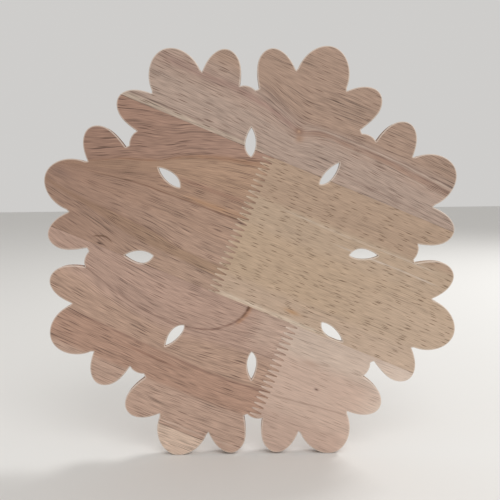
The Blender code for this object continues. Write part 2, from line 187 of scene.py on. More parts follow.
# Sizes of the carving, each a named input of the carving's node tree
CARVING = {
    "Leaves": LEAVES,
    "Tip Radius": TIP_RADIUS,
    "Arris": 0.7,
    "Boss Radius": 24.0,
    "Boss Height": 25.0,
    "Boss Foot": 14.5,
    "Button Radius": 7.5,
    "Button Groove": 1.2,
    "Petal Cut Depth": 1.3,
    "Petal Cut Width": 2.2,
    "Petal End": 22.0,
    "Petal Fade": 3.0,
    "Collar Radius": 27.5,
    "Collar Width": 7.0,
    "Collar Height": 15.0,
    "Collar Foot": 11.0,
    "Twists": 40,
    "Twist Depth": 0.8,
    "Twist Lean": 0.05,
    "Leaf Peak Radius": 98.0,
    "Leaf Peak": 19.5,
    "Leaf Start Drop": 8.0,
    "Leaf Tip Drop": 11.0,
    "Rim": 5.5,
    "Rim Rounding": 9.0,
    "Eye Edge": 1.0,
    "Eye Flare": 14.0,
    "Groove Floor": 6.0,
    "Groove Spread": 0.8,
    "Rear Leaf": 8.5,
    "Rear Leaf Crest": 1.2,
    "Overlap Start": 62.0,
    "Rear Leaf Start": 81.0,
    "Rear Leaf End": 106.0,
    "Rear Leaf Narrow": 1.6,
    "Rear Leaf Wide": 6.2,
    "Undercut": 11.0,
    "Undercut Step": 0.4,
    "Undercut Rounding": 9.0,
    "Fold Start": 64.0,
    "Fold Offset": 2.5,
    "Fold Notch Across": NOTCH[0],
    "Fold Notch Along": NOTCH[1],
    "Fold Curve": 1.2,
    "Fold Depth": 5.5,
    "Fold Width": 8.0,
    "Fold Sharpness": 1.4,
    "Vein Depth": 1.6,
    "Vein Width": 2.2,
    "Vein End": 132.0,
    "Vein Fade": 30.0,
    "Flute Start": 70.0,
    "Flute End": 134.0,
    "Flute Rise": 30.0,
    "Flute Fade": 12.0,
    "Flute Depth": 1.1,
    "Lobe Flutes": 2.0,
    "Ear Flutes": 3.0,
    "Tool Mark Depth": 0.12,
    "Tool Mark Length": 9.0,
    "Tool Mark Width": 3.0,
    "Seed": 4.0,
}
COLLAR_STEP = 0.4
CREASE_ANGLE = math.radians(38.0)
WELD_DISTANCE = 0.001 * MM
FROM_EDGE = "from_edge"

# The surface goes through the points of two honeycombs, through rings of points along the saw cuts, and
# along the lines of the carving, which end a little before they would meet
SPACING = 0.9
FINE_SPACING = 0.55
FINE_REACH = 33.0
KEPT_FROM_LINES = 0.6
EDGE_RINGS = (0.12, 0.3, 0.55, 0.95, 1.5, 2.3)
RING_KEPT = 0.95
LINE_GAP = 1.0
VEIN_GAP = 1.5
FOLD_STEPS = 50
SHEET_MARGIN = 1.0
SAME_POINT = 1e-5
TRIANGLES_INSIDE = 1


def feed(slot, part):
    """Gives a node's input a worked number, a socket or a plain value."""
    if isinstance(part, Value):
        part = part.socket
    if isinstance(part, bpy.types.NodeSocket):
        slot.id_data.links.new(part, slot)
    else:
        slot.default_value = part


def worked(tree, operation, *terms):
    """One Math node."""
    node = tree.nodes.new("ShaderNodeMath")
    node.operation = operation
    for slot, term in zip(node.inputs, terms):
        feed(slot, term)
    return Value(node.outputs[0])


def math_node(operation):
    """A method of Value that puts it through one Math node."""

    def method(value, *terms):
        return worked(value.socket.id_data, operation, value, *terms)

    return method


class Value:
    """A number worked out in a node tree, so that a formula there reads as a formula."""

    def __init__(self, socket):
        self.socket = socket

    def __rsub__(self, other):
        return worked(self.socket.id_data, "SUBTRACT", other, self)

    def __rtruediv__(self, other):
        return worked(self.socket.id_data, "DIVIDE", other, self)

    __add__ = __radd__ = math_node("ADD")
    __sub__ = math_node("SUBTRACT")
    __mul__ = __rmul__ = math_node("MULTIPLY")
    __truediv__ = math_node("DIVIDE")
    __pow__ = math_node("POWER")
    __mod__ = math_node("FLOORED_MODULO")
    __lt__ = math_node("LESS_THAN")
    __gt__ = math_node("GREATER_THAN")
    __abs__ = math_node("ABSOLUTE")
    least = math_node("MINIMUM")
    most = math_node("MAXIMUM")
    root = math_node("SQRT")
    sine = math_node("SINE")
    cosine = math_node("COSINE")
    exponent = math_node("EXPONENT")

    def share(self):
        """The number kept between 0 and 1."""
        return self.least(1.0).most(0.0)


def either(condition, yes, no):
    """yes where the condition is 1, and no where it is 0."""
    return no + (yes - no) * condition


def eased(share):
    """A rise from 0 to 1 that is steep at first and flat at its end."""
    share = share.share()
    return share * (2.0 - share)


def smooth(value, low, high):
    """0 below low, 1 above high, and a smooth rise between them."""
    share = ((value - low) / (high - low)).share()
    return share * share * (3.0 - 2.0 * share)


def quarter_round(share):
    """The height of a quarter circle over its foot, from 0 to 1."""
    left = 1.0 - share.share()
    return (1.0 - left * left).most(0.0).root()


def cut(distance, width):
    """1 in the middle of a V-shaped cut, and 0 from its edges on."""
    return (1.0 - abs(distance) / width).share()


def split(vector):
    """The three parts of a vector socket."""
    node = vector.id_data.nodes.new("ShaderNodeSeparateXYZ")
    feed(node.inputs[0], vector)
    return [Value(socket) for socket in node.outputs]


def joined(tree, *parts):
    """A vector socket made of three numbers."""
    node = tree.nodes.new("ShaderNodeCombineXYZ")
    for slot, part in zip(node.inputs, parts):
        feed(slot, part)
    return node.outputs[0]


def noise(vector, seed, detail=2.0):
    """Even noise from 0 to 1 over a vector that counts its swings."""
    node = vector.id_data.nodes.new("ShaderNodeTexNoise")
    node.noise_dimensions = "4D"
    node.inputs["Scale"].default_value = 1.0
    node.inputs["Detail"].default_value = detail
    feed(node.inputs["W"], seed)
    feed(node.inputs["Vector"], vector)
    return Value(node.outputs[0])


def distance_to(saw_line):
    """Distance to the nearest edge of an object, in millimetres."""
    info = saw_line.id_data.nodes.new("GeometryNodeObjectInfo")
    feed(info.inputs["Object"], saw_line)
    nearest = saw_line.id_data.nodes.new("GeometryNodeProximity")
    nearest.target_element = "EDGES"
    feed(nearest.inputs[0], info.outputs["Geometry"])
    return Value(nearest.outputs["Distance"]) / MM


def carved_height(tree, size, right, up, rim_distance, eye_distance):
    """Height of the carving above the flat back, at a point of the plan."""
    radius = (right * right + up * up).root()
    bearing = worked(tree, "ARCTAN2", up, right)
    sector = math.tau / size["Leaves"]
    from_gap = abs((bearing + sector / 2.0) % sector - sector / 2.0)
    from_axis = sector / 2.0 - from_gap
    along = radius * from_axis.cosine()
    across = radius * from_axis.sine()
    gap_along = radius * from_gap.cosine()
    gap_across = radius * from_gap.sine()

    # A leaf climbs from the collar to its peak and curls down to its tip
    start = size["Collar Radius"] + size["Collar Width"] / 2.0
    peak = size["Leaf Peak Radius"]
    inward = ((peak - radius) / (peak - start)).most(0.0)
    outward = ((radius - peak) / (size["Tip Radius"] - peak)).most(0.0)
    crest = size["Leaf Peak"] - size["Leaf Start Drop"] * inward * inward
    crest = crest - size["Leaf Tip Drop"] * outward * outward

    # Folds part the middle lobe from the side lobes, and a vein runs down the middle
    growth = ((along - size["Fold Start"]) / (size["Fold Notch Along"] - size["Fold Start"])).share()
    fold_across = size["Fold Notch Across"] - size["Fold Offset"]
    fold_line = size["Fold Offset"] + fold_across * growth ** size["Fold Curve"]
    fold = cut(across - fold_line, size["Fold Width"]) ** size["Fold Sharpness"]
    vein = cut(across, size["Vein Width"]) * eased((size["Vein End"] - along) / size["Vein Fade"])
    leaf = crest - size["Fold Depth"] * eased(growth) * fold - size["Vein Depth"] * vein

    # Gouged flutes fan out over each lobe
    half_width = radius * (sector / 2.0).sine()
    in_lobe = (across / fold_line).share()
    in_ear = ((across - fold_line) / (half_width - fold_line).most(1.0)).share()
    lobe_wave = (in_lobe * size["Lobe Flutes"] * math.tau).cosine()
    ear_wave = (in_ear * size["Ear Flutes"] * math.tau).cosine()
    wave = either(across < fold_line, lobe_wave, ear_wave)
    fluted = eased((along - size["Flute Start"]) / size["Flute Rise"])
    fluted = fluted * eased((size["Flute End"] - radius) / size["Flute Fade"])
    leaf = leaf - size["Flute Depth"] * fluted * (0.5 - wave * 0.5)

    # Marks that the gouge left along the leaf
    mark = joined(tree, along / size["Tool Mark Length"], across / size["Tool Mark Width"], bearing)
    leaf = leaf - size["Tool Mark Depth"] * noise(mark, size["Seed"])

    # The leaf rounds down to its own edge: the rim, the groove, or the rear leaf under it
    rear_start = size["Rear Leaf Start"]
    behind = gap_along > rear_start
    opened = ((gap_along - rear_start) / (size["Rear Leaf End"] - rear_start)).share()
    rear_edge = size["Rear Leaf Narrow"] + (size["Rear Leaf Wide"] - size["Rear Leaf Narrow"]) * opened
    past_edge = gap_across - rear_edge
    floor = size["Groove Floor"]
    groove = floor + (leaf - floor) * eased(gap_across / (size["Groove Spread"] * half_width + TINY))
    under = size["Undercut"]
    overlap = under + (leaf - under) * quarter_round(past_edge / size["Undercut Rounding"])
    rear = size["Rear Leaf"] + size["Rear Leaf Crest"] * cut(gap_across, rear_edge)
    step = (past_edge / size["Undercut Step"]).share()
    lapped = smooth(gap_along, size["Overlap Start"], rear_start)
    height = either(behind, either(step, overlap, rear), either(lapped, overlap, groove))
    edge = size["Eye Edge"]
    height = height.least(edge + (leaf - edge) * eased(eye_distance / size["Eye Flare"]))
    rim = size["Rim"]
    height = height.least(rim + (height - rim) * quarter_round(rim_distance / size["Rim Rounding"]))

    # Collar with a rope twist
    off_collar = (radius - size["Collar Radius"]) * 2.0 / size["Collar Width"]
    ring = (1.0 - off_collar * off_collar).most(0.0).root()
    collar = size["Collar Foot"] + (size["Collar Height"] - size["Collar Foot"]) * ring
    strand = (bearing + (radius - size["Collar Radius"]) * size["Twist Lean"]) * size["Twists"]
    collar = collar - size["Twist Depth"] * ring * (1.0 - abs((strand / 2.0).sine()))

    # Boss with petals round a button
    off_boss = radius / size["Boss Radius"]
    boss_rise = size["Boss Height"] - size["Boss Foot"]
    boss = size["Boss Foot"] + boss_rise * (1.0 - off_boss * off_boss).most(0.0).root()
    petal_cut = cut(gap_across, size["Petal Cut Width"]) * (radius > size["Button Radius"])
    petal_fade = eased((size["Petal End"] - radius) / size["Petal Fade"])
    boss = boss - size["Petal Cut Depth"] * petal_cut * petal_fade
    boss = boss - size["Button Groove"] * cut(radius - size["Button Radius"], size["Petal Cut Width"])

    height = either(radius < start + COLLAR_STEP / 2, collar, height)
    return either(radius < size["Boss Radius"] + COLLAR_STEP / 2, boss, height)


def carving_tree():
    """The node tree that draws a flat sawn sheet out to the carving. It takes and gives metres."""
    tree = bpy.data.node_groups.new("carve_leaves", "GeometryNodeTree")
    sockets = {"Sheet": "NodeSocketGeometry", "Saw Cut": "NodeSocketObject", "Piercings": "NodeSocketObject"}
    for name, kind in sockets.items():
        tree.interface.new_socket(name, in_out="INPUT", socket_type=kind)
    for name, value in CARVING.items():
        socket = tree.interface.new_socket(name, in_out="INPUT", socket_type="NodeSocketFloat")
        socket.default_value = value
    tree.interface.new_socket("Wood", in_out="INPUT", socket_type="NodeSocketMaterial")
    tree.interface.new_socket("Carved", in_out="OUTPUT", socket_type="NodeSocketGeometry")
    given = tree.nodes.new("NodeGroupInput").outputs
    size = {name: Value(given[name]) for name in CARVING}

    # The sheet is drawn out to the front, and a copy of it closes the back
    turned_over = tree.nodes.new("GeometryNodeFlipFaces")
    drawn = tree.nodes.new("GeometryNodeExtrudeMesh")
    drawn.inputs["Offset Scale"].default_value = MM
    drawn.inputs["Individual"].default_value = False
    block = tree.nodes.new("GeometryNodeJoinGeometry")
    closed = tree.nodes.new("GeometryNodeMergeByDistance")
    closed.inputs["Distance"].default_value = WELD_DISTANCE
    feed(turned_over.inputs[0], given["Sheet"])
    feed(drawn.inputs["Mesh"], turned_over.outputs[0])
    feed(block.inputs[0], drawn.outputs["Mesh"])
    feed(block.inputs[0], given["Sheet"])
    feed(closed.inputs["Geometry"], block.outputs[0])

    # Every point goes to the carved height in front, or to the eased arris behind
    x, y, z = split(tree.nodes.new("GeometryNodeInputPosition").outputs[0])
    rim_distance = distance_to(given["Saw Cut"])
    eye_distance = distance_to(given["Piercings"])
    height = carved_height(tree, size, x / -MM, z / MM, rim_distance, eye_distance)
    from_edge = rim_distance.least(eye_distance)
    arris = size["Arris"] * (1.0 - quarter_round(from_edge / size["Arris"]))
    in_front = y < -MM / 2
    carved = tree.nodes.new("GeometryNodeSetPosition")
    feed(carved.inputs["Position"], joined(tree, x, either(in_front, height, arris) * -MM, z))

    # The distance from the saw cut stays with the piece, for the painted highlight along its eased edge
    kept = tree.nodes.new("GeometryNodeStoreNamedAttribute")
    kept.data_type = "FLOAT"
    kept.domain = "POINT"
    kept.inputs["Name"].default_value = FROM_EDGE
    feed(kept.inputs["Geometry"], closed.outputs[0])
    feed(kept.inputs["Value"], from_edge)
    feed(carved.inputs["Geometry"], kept.outputs[0])

    real = tree.nodes.new("GeometryNodeRealizeInstances")
    finished = tree.nodes.new("GeometryNodeSetMaterial")
    feed(real.inputs[0], carved.outputs[0])
    feed(finished.inputs["Geometry"], real.outputs[0])
    feed(finished.inputs["Material"], given["Wood"])
    feed(tree.nodes.new("NodeGroupOutput").inputs["Carved"], finished.outputs[0])
    return tree


def added(name, data):
    """A new object of the scene."""
    thing = bpy.data.objects.new(name, data)
    bpy.context.scene.collection.objects.link(thing)
    return thing


def guide(name, loops):
    """Closed lines in the plane of the back, that the carving measures its distance from."""
    points, edges = [], []
    for loop in loops:
        first = len(points)
        points += [(-x * MM, 0.0, y * MM) for x, y in loop]
        edges += [(first + i, first + (i + 1) % len(loop)) for i in range(len(loop))]
    mesh = bpy.data.meshes.new(name)
    mesh.from_pydata(points, edges, [])
    return added(name, mesh)


def circle(radius):
    """A closed ring of points round the middle."""
    count = round(math.tau * radius / FINE_SPACING)
    ring = [turned((0.0, radius), i * math.tau / count) for i in range(count)]
    return ring + ring[:1]


def line(start, end, angle):
    """Points from start to end, each (across, along) about an axis at this bearing."""
    count = max(2, round(math.dist(start, end) / SPACING))
    steps = np.linspace(start, end, count + 1)
    return [turned(step, angle) for step in steps]


def carving_lines():
    """Lines of the carving that the surface must follow exactly."""
    boss, collar = CARVING["Boss Radius"], CARVING["Collar Radius"]
    start = collar + CARVING["Collar Width"] / 2
    radii = (CARVING["Button Radius"], boss, boss + COLLAR_STEP, start, start + COLLAR_STEP)
    lines = [circle(radius) for radius in radii]
    for leaf in range(LEAVES):
        axis, gap = (leaf + 0.5) * SECTOR, leaf * SECTOR
        lines.append(line((0.0, CARVING["Button Radius"]), (0.0, CARVING["Petal End"]), gap))
        for offset in (-CARVING["Vein Width"], 0.0, CARVING["Vein Width"]):
            lines.append(line((offset, start + VEIN_GAP), (offset, CARVING["Vein End"]), axis))
        lines.append(line((0.0, start + LINE_GAP), (0.0, EYE_INNER[1] - LINE_GAP), gap))
        fold = np.linspace(CARVING["Fold Start"] + LINE_GAP, NOTCH[1] - LINE_GAP, FOLD_STEPS)
        share = (fold - CARVING["Fold Start"]) / (NOTCH[1] - CARVING["Fold Start"])
        across = CARVING["Fold Offset"] + (NOTCH[0] - CARVING["Fold Offset"]) * share ** CARVING["Fold Curve"]
        narrow, wide = CARVING["Rear Leaf Narrow"], CARVING["Rear Leaf Wide"]
        first, last = CARVING["Rear Leaf Start"], CARVING["Rear Leaf End"]
        for hand in (-1, 1):
            lines.append([turned((hand * a, b), axis) for a, b in zip(across, fold)])
            for step in (0.0, CARVING["Undercut Step"]):
                lines.append(line((hand * (narrow + step), first), (hand * (wide + step), last), gap))
    return lines


def drawn_in(outline, distance):
    """Points this far inside an outline, or outside a pierced one, where they keep their distance."""
    loop = np.array(outline)
    along = np.roll(loop, -1, axis=0) - np.roll(loop, 1, axis=0)
    normal = np.stack([-along[:, 1], along[:, 0]], 1) / np.hypot(along[:, 0], along[:, 1])[:, None]
    moved = loop + normal * distance
    side = np.roll(loop, -1, axis=0) - loop
    offset = moved[:, None, :] - loop[None, :, :]
    share = np.clip((offset * side).sum(-1) / (side * side).sum(-1), 0.0, 1.0)
    nearest = np.hypot(*np.moveaxis(offset - share[..., None] * side, -1, 0)).min(1)
    return moved[nearest > RING_KEPT * distance]


def honeycomb(reach, spacing):
    """Points of an even honeycomb over a disc."""
    rows = math.ceil(reach / (spacing * math.sqrt(0.75)))
    columns = math.ceil(reach / spacing)
    points = [
        ((column + row % 2 / 2) * spacing, row * spacing * math.sqrt(0.75))
        for row in range(-rows, rows + 1)
        for column in range(-columns, columns + 1)
    ]
    points = np.array(points)
    return points[np.hypot(points[:, 0], points[:, 1]) < reach]


def kept_clear(points, fixed, least):
    """The points that lie at least this far from the fixed ones."""
    tree = kdtree.KDTree(len(fixed))
    for number, (x, y) in enumerate(fixed):
        tree.insert((x, y, 0.0), number)
    tree.balance()
    return [(x, y) for x, y in points if tree.find((x, y, 0.0))[2] > least]


LINES = carving_lines()
RINGS = [tuple(p) for loop in [OUTLINE] + EYES for distance in EDGE_RINGS for p in drawn_in(loop, distance)]
FIXED = [p for loop in [OUTLINE] + EYES + LINES for p in loop] + RINGS
COARSE = honeycomb(TIP_RADIUS, SPACING)
COARSE = COARSE[np.hypot(COARSE[:, 0], COARSE[:, 1]) > FINE_REACH]
FIELD = kept_clear(COARSE, FIXED, KEPT_FROM_LINES * SPACING)
FIELD += kept_clear(honeycomb(FINE_REACH, FINE_SPACING), FIXED, KEPT_FROM_LINES * FINE_SPACING)
FIELD = np.array(FIELD + RINGS)


def sawn_sheet(name, plan):
    """What the saw cut left of one board: a flat sheet of small triangles in the plane of the back."""
    low = np.min(plan, axis=0) - SHEET_MARGIN
    high = np.max(plan, axis=0) + SHEET_MARGIN
    near = FIELD[((FIELD > low) & (FIELD < high)).all(1)]
    points, sides, loops = [], [], []
    for loop in [OUTLINE] + [eye[::-1] for eye in EYES] + [plan]:
        loops.append(list(range(len(points), len(points) + len(loop))))
        points += loop
    for run in LINES:
        first = len(points)
        sides += [(first + i, first + i + 1) for i in range(len(run) - 1)]
        points += run
    points += [tuple(point) for point in near]
    points = [Vector(point) for point in points]
    flat, _, triangles, _, _, owners = delaunay_2d_cdt(points, sides, loops, TRIANGLES_INSIDE, SAME_POINT)

    # Wood is left inside the outline and the board, and outside the eyes
    wood = [0, len(loops) - 1]
    wanted = [triangle for triangle, inside in zip(triangles, owners) if sorted(inside) == wood]
    used = sorted({corner for triangle in wanted for corner in triangle})
    place = {corner: number for number, corner in enumerate(used)}
    mesh = bpy.data.meshes.new(name)
    corners = [(-flat[corner].x * MM, 0.0, flat[corner].y * MM) for corner in used]
    mesh.from_pydata(corners, [], [[place[corner] for corner in triangle] for triangle in wanted])
    return mesh


TREE = carving_tree()
SAW_CUT = guide("saw_cut", [OUTLINE])
PIERCINGS = guide("piercings", EYES)


def carved_board(name, corners, wood):
    """One glued piece of the rosette, sawn, carved and put in the frame in place of its plain solid."""
    plan = [turned((across, along), GRAIN_ANGLE) for along, across in corners]
    piece = added("carved_" + name, sawn_sheet(name, plan))
    carve = piece.modifiers.new("carve_leaves", "NODES")
    carve.node_group = TREE
    inputs = {"Saw Cut": SAW_CUT, "Piercings": PIERCINGS, "Wood": wood, **CARVING}
    for socket in TREE.interface.items_tree:
        if socket.name in inputs:
            value = inputs[socket.name]
            carve[socket.identifier] = float(value) if isinstance(value, (int, float)) else value
    depsgraph = bpy.context.evaluated_depsgraph_get()
    carved = bpy.data.meshes.new_from_object(piece.evaluated_get(depsgraph))
    piece.modifiers.remove(carve)
    piece.data = carved
    carved.shade_smooth()
    carved.set_sharp_from_angle(angle=CREASE_ANGLE)
    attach(piece, "root")
    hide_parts(name)


# How the wood is drawn. Noise is given by the length and the width of its swings, along and across the grain,
# and the growth lines from broad bands down to single fibres.
SWAYS = ((60.0, 16.0, 3.0), (22.0, 5.0, 0.8))
SWAY_SEED = 7.0
BROAD_BANDS = (260.0, 13.0)
MIDDLE_BANDS = (70.0, 3.2)
FINE_LINES = (40.0, 0.45)
FINE_LINE_RISE = (0.52, 0.76)
FINE_LINE_MEAN = 0.08
HAIR_LINES = (8.0, 0.4)
LEAN_STIFFNESS = 2.0
BACK_DEPTH = 1.0
CARVED_DEPTH = 5.0
SCRAPED = 0.45
PORE_SPACING = 1.1
PORE_SIZE = 0.16
FAINTEST_PORE = 0.1
STREAK_BREAKS = (16.0, 3.0)
BREAK_RISE = (0.3, 0.6)
FAINTEST_STREAK = 0.4
# Painted highlight along the eased edges of the back: where it starts and ends from the edge and how deep it
# goes, its tone and its strength
EDGE_HIGHLIGHT_START = 0.3
EDGE_HIGHLIGHT_END = 1.05
EDGE_HIGHLIGHT_TONE = (0.80, 0.70, 0.61)
EDGE_HIGHLIGHT_SHARE = 0.55
SHINE = 0.3
ROUGHNESS = 0.62
ROUGHNESS_SWING = 0.2
TOUCH_LINES = (38.0, 1.1, 2.0)
TOUCH_GRAIN = (4.0, 0.5, 11.0)
BUMP_STRENGTH = 0.5
BUMP_HEIGHT = 0.05 * MM


class Board:
    """The drawing of the wood in one glued piece. Its tones are laid over each other like washes.

    along and across run in the plane of the back, with and across the grain, and depth runs into the wood.
    level is the growth line that a point lies on: a board whose lines bend sets it anew.
    """

    def __init__(self, name, tone, lean):
        self.material = bpy.data.materials.new(name)
        self.material.use_nodes = True
        self.tree = self.material.node_tree
        self.lean = lean
        self.colour = (*tone, 1.0)
        place = self.tree.nodes.new("ShaderNodeTexCoord").outputs["Object"]
        x, y, z = split(place)
        cos, sin = math.cos(GRAIN_ANGLE), math.sin(GRAIN_ANGLE)
        self.depth = y / -MM
        self.along = x * (-cos / MM) + z * (sin / MM)
        self.across = x * (sin / MM) + z * (cos / MM)
        for sway in SWAYS:
            self.wander(*sway)
        self.level = self.across
        self.open_grain = 1.0 - smooth(self.depth, BACK_DEPTH, CARVED_DEPTH) * SCRAPED

    def noise(self, along, across, seed):
        """Noise whose swings are this long along the grain, and this wide across it and into it."""
        cell = joined(self.tree, self.along / along, self.across / across, self.depth / across)
        return noise(cell, seed)

    def lines(self, across):
        """Counts growth lines this far apart. They lean as they go into the wood, the fine ones least."""
        return self.level / across + self.depth * (self.lean / (across + LEAN_STIFFNESS))

    def line_noise(self, along, across, seed, detail=2.0):
        """Noise drawn out along the growth lines."""
        return noise(joined(self.tree, self.along / along, self.lines(across), 0.0), seed, detail)

    def wander(self, along, across, reach):
        """Lets the grain swing from side to side."""
        self.across = self.across + (self.noise(along, across, SWAY_SEED) - 0.5) * reach

    def wash(self, tone, share):
        """Lays a tone over the wood, as strongly as share says."""
        node = self.tree.nodes.new("ShaderNodeMix")
        node.data_type = "RGBA"

        # The node's inputs for a factor and two colours
        for slot, part in ((0, share), (6, self.colour), (7, (*tone, 1.0))):
            feed(node.inputs[slot], part)
        self.colour = node.outputs[2]

    def shade(self, factor):
        """Makes the wood paler or darker by a factor."""
        node = self.tree.nodes.new("ShaderNodeVectorMath")
        node.operation = "SCALE"
        drawn = isinstance(self.colour, bpy.types.NodeSocket)
        feed(node.inputs["Vector"], self.colour if drawn else self.colour[:3])
        feed(node.inputs["Scale"], factor)
        self.colour = node.outputs[0]

    def run(self, points):
        """The level, across the grain, of a smooth line through points given as (along, across)."""
        node = self.tree.nodes.new("ShaderNodeFloatCurve")
        curve = node.mapping.curves[0].points
        knots = [(along / REACH / 2 + 0.5, across / REACH / 2 + 0.5) for along, across in points]
        curve[0].location = knots[0]
        curve[1].location = knots[-1]
        for knot in knots[1:-1]:
            curve.new(*knot)
        node.mapping.update()
        feed(node.inputs["Value"], self.along / REACH / 2 + 0.5)
        return (Value(node.outputs[0]) - 0.5) * 2 * REACH

    def follow(self, guides):
        """Bends the growth lines along guide lines, given from low to high as a level and points."""
        levels = [level for level, _ in guides]
        runs = [self.run(points) for _, points in guides]
        self.level = self.across - runs[0] + levels[0]
        for number in range(1, len(runs)):
            below, above = runs[number - 1], runs[number]
            share = (self.across - below) / (above - below).most(1.0)
            between = share * (levels[number] - levels[number - 1]) + levels[number - 1]
            self.level = either(self.across > below, between, self.level)
        self.level = either(self.across > runs[-1], self.across - runs[-1] + levels[-1], self.level)

    def bands(self, *bands):
        """Turns the wood to another tone above each growth line, given as its level, tone and softness."""
        for level, tone, soft in bands:
            self.wash(tone, smooth(self.level, level - soft, level + soft))

    def figure(self, broad, middle, fine, hair, seed):
        """Growth lines, from broad bands down to single fibres, as swings of brightness."""
        fine_lines = smooth(self.line_noise(*FINE_LINES, seed + 2.0, 1.0), *FINE_LINE_RISE)
        hair_lines = self.line_noise(*HAIR_LINES, seed + 3.0, 0.0)
        swing = (self.line_noise(*BROAD_BANDS, seed) - 0.5) * broad
        swing = swing + (self.line_noise(*MIDDLE_BANDS, seed + 1.0) - 0.5) * middle
        swing = swing + (FINE_LINE_MEAN - fine_lines) * self.open_grain * fine
        swing = swing + (hair_lines - 0.5) * self.open_grain * hair
        self.shade(1.0 + swing)

    def pores(self, tone, share, length, seed):
        """Open vessels, cut as thin dashes of about this length along the grain, most of them faint."""
        scattered = self.tree.nodes.new("ShaderNodeTexVoronoi")
        scattered.voronoi_dimensions = "2D"
        scattered.inputs["Scale"].default_value = 1.0
        cell_length = length / (2.0 * PORE_SIZE)
        cell = joined(self.tree, self.along / cell_length, self.lines(PORE_SPACING) + seed, 0.0)
        feed(scattered.inputs["Vector"], cell)
        from_pore = Value(scattered.outputs["Distance"])
        pore = 1.0 - smooth(from_pore, PORE_SIZE / 2, PORE_SIZE * 1.5)
        strength = smooth(split(scattered.outputs["Color"])[0], FAINTEST_PORE, 1.0)
        self.wash(tone, pore * strength * self.open_grain * share)

    def streak(self, off, start, end, width, tone, share, fade=8.0):
        """A coloured line from start to end, where the distance off it is small."""
        off = off / width
        begun = smooth(self.along, start - fade, start + fade)
        ends = begun * (1.0 - smooth(self.along, end - fade, end + fade))
        broken = smooth(self.noise(*STREAK_BREAKS, start), *BREAK_RISE)
        broken = broken * (1.0 - FAINTEST_STREAK) + FAINTEST_STREAK
        self.wash(tone, (off * off * -1.0).exponent() * ends * broken * share)

    def streaks(self, *streaks):
        """Coloured growth lines, each given as its level and then like any streak."""
        for level, *streak in streaks:
            self.streak(self.level - level, *streak)

    def patch(self, centre, reach, tone, share):
        """A soft spot of another tone, its reach given along and across the grain."""
        a = (self.along - centre[0]) / reach[0]
        b = (self.across - centre[1]) / reach[1]
        self.wash(tone, ((a * a + b * b) * -1.0).exponent() * share)

    def wood(self):
        """Ends the drawing: a painted highlight makes the eased edges of the back paler, and pores and lines
        give the wood its touch.
        """
        kept = self.tree.nodes.new("ShaderNodeAttribute")
        kept.attribute_name = FROM_EDGE
        # Painted highlight: the back is made paler along its eased edges
        paler = 1.0 - smooth(Value(kept.outputs["Fac"]), EDGE_HIGHLIGHT_START, EDGE_HIGHLIGHT_END)
        self.wash(EDGE_HIGHLIGHT_TONE, paler * (1.0 - smooth(self.depth, BACK_DEPTH, EDGE_HIGHLIGHT_END)) * EDGE_HIGHLIGHT_SHARE)
        shader = self.tree.nodes["Principled BSDF"]
        feed(shader.inputs["Base Color"], self.colour)
        shader.inputs["Specular IOR Level"].default_value = SHINE
        lines = self.line_noise(*TOUCH_LINES)
        feed(shader.inputs["Roughness"], (lines - 0.5) * ROUGHNESS_SWING + ROUGHNESS)
        bump = self.tree.nodes.new("ShaderNodeBump")
        bump.inputs["Strength"].default_value = BUMP_STRENGTH
        bump.inputs["Distance"].default_value = BUMP_HEIGHT
        feed(bump.inputs["Height"], self.noise(*TOUCH_GRAIN) + lines)
        feed(shader.inputs["Normal"], bump.outputs[0])
        return self.material


TOP_STAVE = [(REACH, REACH), (-REACH, REACH), (-REACH, UPPER_SEAM + CLEAR), (REACH, UPPER_SEAM + CLEAR)]
DARK_LINE = (0.19, 0.12, 0.095)
grey = Board("grey_rubberwood", (0.41, 0.305, 0.25), 0.8)

# The growth lines dip to a pin knot from both sides
KNOT = (-2.0, 83.8)
grey.follow([
    (62.5, [(-110.0, 62.5), (110.0, 62.5)]),
    (72.0, [(-110.0, 75.5), (-56.0, 74.5), (-8.0, 71.0), (21.0, 72.5), (60.0, 70.0), (110.0, 65.0)]),
    (90.0, [
        (-110.0, 95.5), (-71.0, 92.5), (-33.0, 91.0), (-11.0, 86.0),
        KNOT, (9.0, 87.3), (28.0, 88.2), (110.0, 82.5),
    ]),
    (99.0, [
        (-110.0, 107.0), (-33.0, 102.5), (-20.0, 97.5), (-3.0, 92.0),
        (14.0, 92.5), (50.0, 94.0), (110.0, 91.0),
    ]),
    (117.0, [(-110.0, 118.0), (110.0, 116.0)]),
])
grey.bands(
    (83.0, (0.395, 0.285, 0.23), 3.0),
    (97.0, (0.375, 0.257, 0.195), 4.0),
)
grey.streaks(
    (90.5, -100.0, -3.0, 2.0, (0.30, 0.18, 0.15), 0.6),
    (89.5, 2.0, 120.0, 2.6, (0.33, 0.20, 0.145), 0.7),
    (91.0, 2.0, 120.0, 0.6, DARK_LINE, 0.6),
    (96.0, -33.0, 0.0, 0.7, DARK_LINE, 0.6),
    (69.0, 25.0, 110.0, 0.6, DARK_LINE, 0.5),
    (63.6, -120.0, -20.0, 1.2, (0.47, 0.38, 0.30), 0.8),
    (65.4, -120.0, -20.0, 0.4, DARK_LINE, 0.6),
)
grey.patch((0.0, 79.5), (2.5, 2.5), (0.32, 0.17, 0.09), 0.5)
grey.streaks(
    (93.2, 4.0, 120.0, 0.7, (0.50, 0.39, 0.32), 0.7),
    (94.6, 10.0, 120.0, 0.5, DARK_LINE, 0.7),
    (86.6, 12.0, 120.0, 0.6, (0.48, 0.37, 0.30), 0.6),
    (98.5, -40.0, 60.0, 0.5, DARK_LINE, 0.5),
)
grey.patch(KNOT, (3.4, 2.4), (0.27, 0.15, 0.10), 0.7)
grey.patch(KNOT, (2.0, 1.5), (0.16, 0.09, 0.065), 0.7)
grey.patch(KNOT, (1.1, 1.0), (0.46, 0.29, 0.20), 1.0)
grey.figure(0.25, 0.35, 0.7, 0.8, seed=20.0)
grey.pores((0.14, 0.08, 0.055), 0.9, length=6.0, seed=1.0)
carved_board("top_stave", TOP_STAVE, grey.wood())

